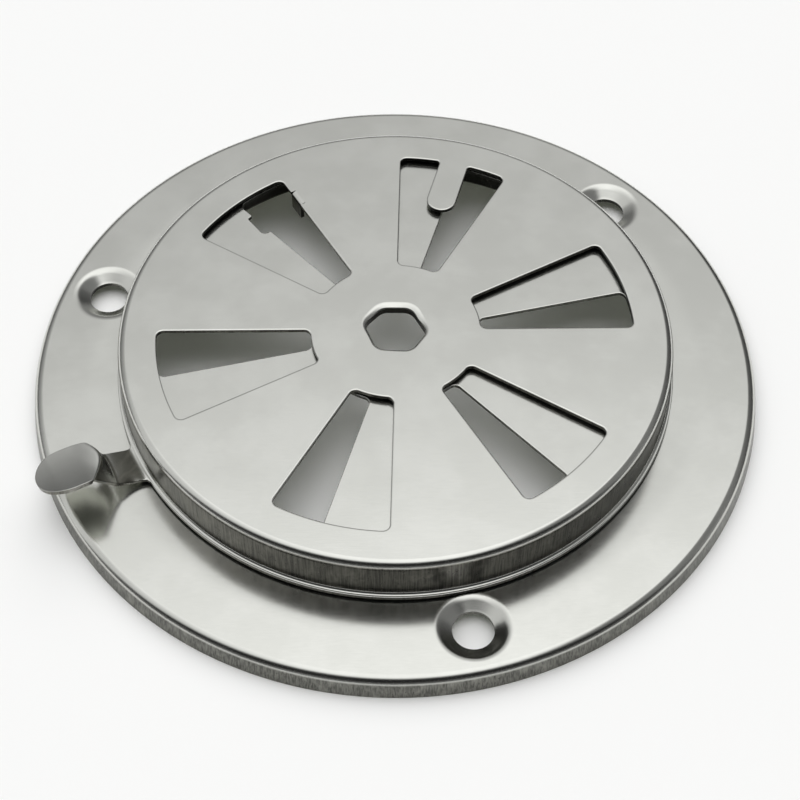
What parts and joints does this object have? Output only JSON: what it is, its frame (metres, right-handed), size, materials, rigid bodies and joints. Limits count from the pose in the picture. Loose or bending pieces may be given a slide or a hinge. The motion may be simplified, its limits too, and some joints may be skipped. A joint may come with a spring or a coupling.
{
  "type": "rotary shutter ventilator",
  "caption": "Round closable ventilator: a slotted cap with a thumb lever turns on a slotted, screw-on base plate to open or close the air ways.",
  "frame": {"origin": "centre of the underside, on the plane of the skirt's bottom edge", "axes": "+Z out of the mounting surface along the shutter's axis; +X through the middle of one base window"},
  "size_m": [0.125, 0.125, 0.013],
  "materials": {
    "satin_stainless_base": "satin, lightly brushed",
    "satin_stainless_cap": "satin, lightly brushed",
    "washer_steel": "plain",
    "spring_steel": "plain"
  },
  "bodies": {
    "base": {"base_plate": "satin_stainless_base", "spacer_washer": "washer_steel"},
    "shutter": {"shutter_cap": "satin_stainless_cap", "spring_washer": "spring_steel"}
  },
  "joints": [
    {"name": "shutter_turn", "type": "hinge", "parent": "base", "child": "shutter", "pos_m": [0, 0, 0.0114], "axis": [0, 0, 1], "range_deg": [-13.8, 14.2]}
  ]
}
